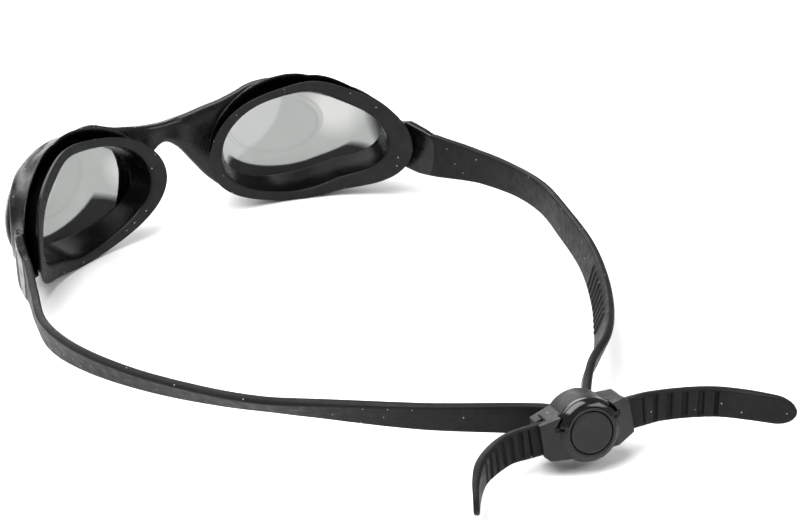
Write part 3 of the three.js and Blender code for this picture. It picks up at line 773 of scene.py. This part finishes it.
class Graph:
    """Small helper that adds and links nodes in one material."""

    def __init__(self, material):
        self.tree = material.node_tree
        self.coordinates = self.add("ShaderNodeTexCoord").outputs["Object"]

    def add(self, kind, **settings):
        node = self.tree.nodes.new(kind)
        for key, value in settings.items():
            setattr(node, key, value)
        return node

    def link(self, source, target):
        self.tree.links.new(source, target)

    def noise(self, scale, detail=3.0, roughness=0.55):
        node = self.add("ShaderNodeTexNoise")
        node.inputs["Scale"].default_value = scale
        node.inputs["Detail"].default_value = detail
        node.inputs["Roughness"].default_value = roughness
        self.link(self.coordinates, node.inputs["Vector"])
        return node.outputs["Fac"]

    def remap(self, value, low, high, to_low, to_high):
        node = self.add("ShaderNodeMapRange")
        for key, number in (("From Min", low), ("From Max", high), ("To Min", to_low), ("To Max", to_high)):
            node.inputs[key].default_value = number
        self.link(value, node.inputs["Value"])
        return node.outputs["Result"]

    def math(self, operation, first, second=0.0):
        node = self.add("ShaderNodeMath", operation=operation)
        for socket, value in zip(node.inputs, (first, second)):
            if isinstance(value, (int, float)):
                socket.default_value = value
            else:
                self.link(value, socket)
        return node.outputs[0]

    def mix(self, factor, first, second):
        node = self.add("ShaderNodeMix", data_type="RGBA")
        self.link(factor, node.inputs["Factor"])
        for socket, value in ((node.inputs["A"], first), (node.inputs["B"], second)):
            if isinstance(value, tuple):
                socket.default_value = (*value, 1)
            else:
                self.link(value, socket)
        return node.outputs["Result"]

    def surface_place(self):
        """The two numbers stored along each surface when its mesh is made."""
        node = self.add("ShaderNodeUVMap", uv_map="millimetres")
        split = self.add("ShaderNodeSeparateXYZ")
        self.link(node.outputs["UV"], split.inputs["Vector"])
        return split.outputs["X"], split.outputs["Y"]

    def pits(self, span, pitch, row, radius):
        """1 in the middle of each pit: three rows a set distance apart, the middle row half a pitch on."""
        along, height = self.surface_place()
        rows = self.math("ABSOLUTE", height)
        dots = []
        for offset, middle in ((0.0, row), (pitch / 2, 0.0)):
            cell = self.math("MODULO", self.math("ADD", along, offset), pitch)
            across = self.math("SUBTRACT", cell, pitch / 2)
            above = self.math("SUBTRACT", rows, middle)
            squares = [self.math("MULTIPLY", part, part) for part in (across, above)]
            reach = self.math("SQRT", self.math("ADD", *squares))
            dots.append(self.remap(reach, radius * 0.7, radius, 1, 0))
        found = self.math("MAXIMUM", *dots)
        inside = self.math("MULTIPLY", self.remap(along, span[0], span[0] + 0.5, 0, 1),
                           self.remap(along, span[1], span[1] + 0.5, 1, 0))
        return self.math("MULTIPLY", found, inside)

    def round_zone(self, centre, radius, softness):
        """1 inside a ball about a place in the row frame, 0 outside."""
        node = self.add("ShaderNodeVectorMath", operation="DISTANCE")
        self.link(self.coordinates, node.inputs[0])
        node.inputs[1].default_value = tuple(to_row(centre))
        reach, soft = radius * MM, softness * MM / 2
        return self.remap(node.outputs["Value"], reach - soft, reach + soft, 1, 0)

    def specks(self, scale, size, share):
        """Sparse pale dust: a dot in a share of the cells of a fine pattern."""
        cells = self.add("ShaderNodeTexVoronoi")
        cells.inputs["Scale"].default_value = scale
        self.link(self.coordinates, cells.inputs["Vector"])
        near = self.math("LESS_THAN", cells.outputs["Distance"], size)
        split = self.add("ShaderNodeSeparateColor")
        self.link(cells.outputs["Color"], split.inputs["Color"])
        chosen = self.math("LESS_THAN", split.outputs["Red"], share)
        return self.math("MULTIPLY", near, chosen)

    def mottle(self, dark, light):
        """Two tones in soft patches."""
        return self.mix(self.remap(self.noise(180, 4), 0.35, 0.7, 0, 1), dark, light)

    def uneven(self, below, above):
        """A number that wanders between two values."""
        return self.remap(self.noise(420, 5), 0.3, 0.7, below, above)

    def grain(self):
        """Height of a fine moulded grain over a coarser one."""
        return self.math("ADD", self.noise(5200, 2), self.math("MULTIPLY", self.noise(900, 3), 0.6))

    def bump(self, shader, height, distance, strength):
        node = self.add("ShaderNodeBump")
        node.inputs["Distance"].default_value = distance
        node.inputs["Strength"].default_value = strength
        self.link(height, node.inputs["Height"])
        self.link(node.outputs["Normal"], shader.inputs["Normal"])


GRAIN_DEPTH = 0.03 * MM


def rubber(name, dark, light, roughness, dust, specular=0.25, dimples=None):
    """Moulded rubber: mottled tone, uneven polish, fine grain and a few dust specks.

    dimples is (start, end) along a band in millimetres: three staggered rows of small pits, pressed into the
    bump and filled with painted shade.
    """
    material, shader = new_material(name, dark, roughness, specular)
    graph = Graph(material)
    tone = graph.mottle(dark, light)
    if dust:
        tone = graph.mix(graph.specks(900, 0.16, dust), tone, (0.32, 0.32, 0.31))
    graph.link(tone, shader.inputs["Base Color"])
    graph.link(graph.uneven(roughness - 0.08, roughness + 0.1), shader.inputs["Roughness"])
    grain = graph.grain()
    if dimples:
        pits = graph.pits(dimples, 4.2, 2.3, 0.42)
        # the pits are coloured near black: painted shade inside them
        graph.link(graph.mix(pits, tone, (0.001, 0.001, 0.001)), shader.inputs["Base Color"])
        grain = graph.math("SUBTRACT", grain, graph.math("MULTIPLY", pits, 3.0))
    graph.bump(shader, grain, GRAIN_DEPTH, 0.35)
    return material


def seal_rubber(name):
    """The seal's flange is matt and dusty, and its inner wall polished and darkened to near black with
    painted shade.
    """
    flange, wall = (0.007, 0.007, 0.0073), (0.0015, 0.0015, 0.0016)
    material, shader = new_material(name, flange, 0.6, 0.2)
    graph = Graph(material)
    _, behind_face = graph.surface_place()
    deep = graph.remap(behind_face, -0.75, -0.35, 1, 0)
    tone = graph.mottle(flange, (0.011, 0.011, 0.0112))
    dusty = graph.mix(graph.specks(700, 0.13, 0.16), tone, (0.4, 0.4, 0.39))
    # the inner wall's near-black tone is painted shade; only its lower roughness is a real polish
    graph.link(graph.mix(deep, dusty, wall), shader.inputs["Base Color"])
    polish = graph.remap(deep, 0, 1, 0.62, 0.22)
    graph.link(graph.math("ADD", graph.uneven(-0.06, 0.08), polish), shader.inputs["Roughness"])
    graph.bump(shader, graph.grain(), GRAIN_DEPTH, 0.3)
    return material


def tint_with_painted_light(graph, painted_reflection_zone, painted_highlight_zone, painted_shade_zone):
    """Share of the light that each part of the shell lets through, with painted reflection, a painted
    highlight and painted shade laid in as lighter and darker zones.
    """
    haze = graph.remap(graph.noise(60, 2), 0.3, 0.7, 0.0, 1.0)
    tint_and_painted_light = graph.mix(haze, (0.485, 0.495, 0.487), (0.5, 0.51, 0.502))
    # a lighter patch in the first zone: painted reflection of the surroundings
    tint_and_painted_light = graph.mix(graph.round_zone(*painted_reflection_zone, 0.5), tint_and_painted_light, (0.555, 0.56, 0.557))
    # across is 0 at the rim and 1 at the edge of the flat window
    across, height = graph.surface_place()
    wall = graph.remap(across, 0.93, 0.99, 1, 0)
    # a lighter patch on the side wall: painted highlight
    painted_highlight = graph.math("MULTIPLY", wall, graph.round_zone(*painted_highlight_zone, 6.0))
    tint_and_painted_light = graph.mix(painted_highlight, tint_and_painted_light, (0.63, 0.63, 0.625))
    # a darker line along the edge of the flat window: painted shade
    window_edge_shade = graph.math("MULTIPLY", graph.remap(across, 0.93, 0.97, 0, 1),
                             graph.remap(across, 0.98, 1.02, 1, 0))
    tint_and_painted_light = graph.mix(window_edge_shade, tint_and_painted_light, (0.46, 0.465, 0.46))
    # a dark band low on the shell near the rim, and a dark patch on the side wall at the temple end: painted
    # shade
    below = graph.math("MULTIPLY", graph.remap(across, 0.27, 0.33, 1, 0),
                       graph.remap(height, -9.5, -7.5, 1, 0))
    shade = graph.math("MAXIMUM", below, graph.math("MULTIPLY", wall, graph.round_zone(*painted_shade_zone, 5.0)))
    return graph.mix(shade, tint_and_painted_light, (0.12, 0.122, 0.12))


def smoke_lens(name, painted_reflection_zone, painted_highlight_zone, painted_shade_zone):
    """Tinted clear plastic: light passes through darkened, and the surfaces reflect.

    The zones are (centre, radius) in design millimetres: a lighter zone of painted reflection, a painted
    highlight on the side wall and a darker zone of painted shade.
    """
    material, shader = new_material(name, (0.02, 0.022, 0.022), 0.04)
    graph = Graph(material)
    clear = graph.add("ShaderNodeBsdfTransparent")
    graph.link(tint_with_painted_light(graph, painted_reflection_zone, painted_highlight_zone, painted_shade_zone), clear.inputs["Color"])
    fresnel = graph.add("ShaderNodeFresnel")
    fresnel.inputs["IOR"].default_value = 1.5
    # only the side that faces the light path reflects, because light isn't bent inside the thin shell
    facing = graph.math("SUBTRACT", 1.0, graph.add("ShaderNodeNewGeometry").outputs["Backfacing"])
    gloss = graph.math("MULTIPLY", fresnel.outputs["Fac"], facing)
    mixed = graph.add("ShaderNodeMixShader")
    graph.link(gloss, mixed.inputs["Fac"])
    graph.link(clear.outputs["BSDF"], mixed.inputs[1])
    graph.link(shader.outputs["BSDF"], mixed.inputs[2])
    output = next(n for n in material.node_tree.nodes if n.type == "OUTPUT_MATERIAL")
    graph.link(mixed.outputs["Shader"], output.inputs["Surface"])
    return material


def steel(name):
    material, shader = new_material(name, (0.6, 0.61, 0.63), 0.3)
    shader.inputs["Metallic"].default_value = 1.0
    graph = Graph(material)
    graph.link(graph.remap(graph.noise(3000, 3), 0.3, 0.7, 0.2, 0.42), shader.inputs["Roughness"])
    return material


# ---------------------------------------------------------------- pieces
def dress(piece, material):
    piece.data.materials.clear()
    piece.data.materials.append(material)


def cup_place(u, v, n, side):
    return cup_space(u, v, n) * np.array([side, 1, 1])


FRAME_RUBBER = rubber("frame_rubber", (0.002, 0.002, 0.0022), (0.004, 0.004, 0.0042), 0.27, 0.02, 0.3)
SEAL_RUBBER = seal_rubber("seal_rubber")
STRAP_TONES = ((0.004, 0.004, 0.0042), (0.007, 0.007, 0.0072), 0.5, 0.05, 0.16)
STRAP_RUBBER = rubber("strap_rubber", *STRAP_TONES)
DIMPLED_RUBBER = rubber("dimpled_rubber", *STRAP_TONES, dimples=(105.0, 172.0))
BUCKLE_SATIN = rubber("buckle_satin", (0.007, 0.007, 0.0073), (0.01, 0.01, 0.0105), 0.42, 0, 0.3)
DOME_GLOSS = rubber("dome_gloss", (0.0015, 0.0015, 0.0015), (0.002, 0.002, 0.002), 0.07, 0, 0.5)
# Each lens: a lighter zone of painted reflection, a painted highlight and a zone of painted shade, each as
# (centre, radius).
LENS_SMOKE = {
    "right": smoke_lens("lens_smoke_right", (cup_place(-30.7, 11.9, -14.2, 1), 23.3),
                        (cup_place(8, 3, -12, 1), 8.0), (cup_place(23, 1, -3, 1), 7.5)),
    "left": smoke_lens("lens_smoke_left", (cup_place(3, 9, -10, -1), 17.0),
                       (cup_place(-27, 0, -3, -1), 4.0), (cup_place(22, 1, -4, -1), 6.0)),
}
STEEL = steel("spring_steel")

soft_frame = make_frame()
dress(soft_frame, FRAME_RUBBER)
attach(soft_frame, "goggle_front")
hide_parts("frame")

seal = make_seal()
lens = make_lens()
for side in ("right", "left"):
    for source, stem, node, material, slot in (
        (seal, "eye_seal", "seal", SEAL_RUBBER, "seal_rubber"),
        (lens, "lens_shell", "lens", LENS_SMOKE[side], "lens_smoke"),
    ):
        piece = source if side == "right" else mirror_copy(source, f"{stem}_left")
        dress(piece, material)
        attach(piece, "goggle_front")
        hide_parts(f"{node}_{side}")

for side, sign, route, relief, material in (
    ("right", 1, RIGHT_ROUTE, right_strap_relief, STRAP_RUBBER),
    ("left", -1, LEFT_ROUTE, None, DIMPLED_RUBBER),
):
    strap = make_strap(f"band_{side}", sign, route, relief)
    dress(strap, material)
    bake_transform(strap)
    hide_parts(f"strap_{side}")

for side, sign, route, relief in (
    ("right", 1, RIGHT_TAIL, tail_relief(1, 4.6, 5, 4.1, 0.42)),
    ("left", -1, LEFT_TAIL, tail_relief(-1, 3.6, 6, 2.9, 0.5)),
):
    tail = make_tail(f"tail_band_{side}", sign, route, relief)
    dress(tail, STRAP_RUBBER)
    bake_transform(tail)
    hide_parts(f"strap_tail_{side}")

for make, node, material, slot, body in (
    (make_base, "buckle_base", BUCKLE_SATIN, "buckle_satin", "strap_loop"),
    (make_cover, "buckle_cover", BUCKLE_SATIN, "buckle_satin", "strap_loop"),
    (make_inlay, "dome_inlay", DOME_GLOSS, "buckle_gloss", "strap_loop"),
    (make_button, "button", BUCKLE_SATIN, "buckle_satin", "push_button"),
):
    piece = make()
    dress(piece, material)
    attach(piece, body)
    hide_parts(node)

for node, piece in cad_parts.items():
    if node.startswith(("strap_bar", "pawl_pin", "button_spring")):
        piece.data.materials[0] = STEEL
    elif node.startswith("pawl"):
        piece.data.materials[0] = BUCKLE_SATIN

# ---------------------------------------------------------------- stage, light and camera
CAMERA_TURN = math.radians(34.41)
CAMERA_DIP = math.radians(23.91)
CAMERA_ROLL = math.radians(-2.86)
CAMERA_TARGET = (70.5, -1.4, -29.3)
CAMERA_DISTANCE = 712.0
LENS_LENGTH = 99.1


def add_floor():
    white, shader = new_material("paper", (0.88, 0.88, 0.88), 0.9, 0.1)
    graph = Graph(white)
    graph.link(graph.mix(graph.noise(9, 3), (0.875, 0.875, 0.875), (0.885, 0.885, 0.885)),
               shader.inputs["Base Color"])
    floor = new_object("floor", [(-6, -6, 0), (6, -6, 0), (6, 6, 0), (-6, 6, 0)], [(0, 1, 2, 3)])
    floor.data.materials.append(white)


def aim(thing, place, target):
    direction = Vector(target) - Vector(place)
    thing.location = place
    thing.rotation_euler = direction.to_track_quat("-Z", "Y").to_euler()


def add_light(name, place, target, width, height, power):
    data = bpy.data.lights.new(name, "AREA")
    data.shape = "RECTANGLE"
    data.size, data.size_y = width, height
    data.energy = power
    aim(add_to_scene(name, data), place, target)


def add_world():
    world = bpy.data.worlds.new("studio")
    world.use_nodes = True
    world.node_tree.nodes["Background"].inputs["Color"].default_value = (1, 1, 1, 1)
    world.node_tree.nodes["Background"].inputs["Strength"].default_value = 0.4
    bpy.context.scene.world = world


def add_camera():
    turn, dip, roll = CAMERA_TURN, CAMERA_DIP, CAMERA_ROLL
    forward = np.array([math.sin(turn) * math.cos(dip), math.cos(turn) * math.cos(dip), -math.sin(dip)])
    level = np.array([math.cos(turn), -math.sin(turn), 0.0])
    upright = np.cross(level, forward)
    right = math.cos(roll) * level + math.sin(roll) * upright
    up = -math.sin(roll) * level + math.cos(roll) * upright
    place = to_row(np.array(CAMERA_TARGET) - forward * CAMERA_DISTANCE)
    data = bpy.data.cameras.new("view")
    data.lens = LENS_LENGTH
    data.sensor_width = 36.0
    data.clip_start = 0.01
    camera = add_to_scene("view", data)
    camera.matrix_world = Matrix((
        (right[0], up[0], -forward[0], place[0]),
        (right[1], up[1], -forward[1], place[1]),
        (right[2], up[2], -forward[2], place[2]),
        (0, 0, 0, 1),
    ))
    bpy.context.scene.camera = camera


add_floor()
add_world()
add_light("key", (-0.35, 0.0, 1.0), (0, 0, 0.01), 1.0, 1.0, 22)
add_light("fill", (0.5, -0.9, 0.7), (0, -0.03, 0.01), 0.9, 0.5, 6)
add_light("back", (0.2, 1.0, 0.6), (0, 0.05, 0.01), 1.2, 0.5, 8)
add_camera()
bpy.context.scene.view_settings.view_transform = "Standard"
bpy.context.scene.view_settings.look = "None"
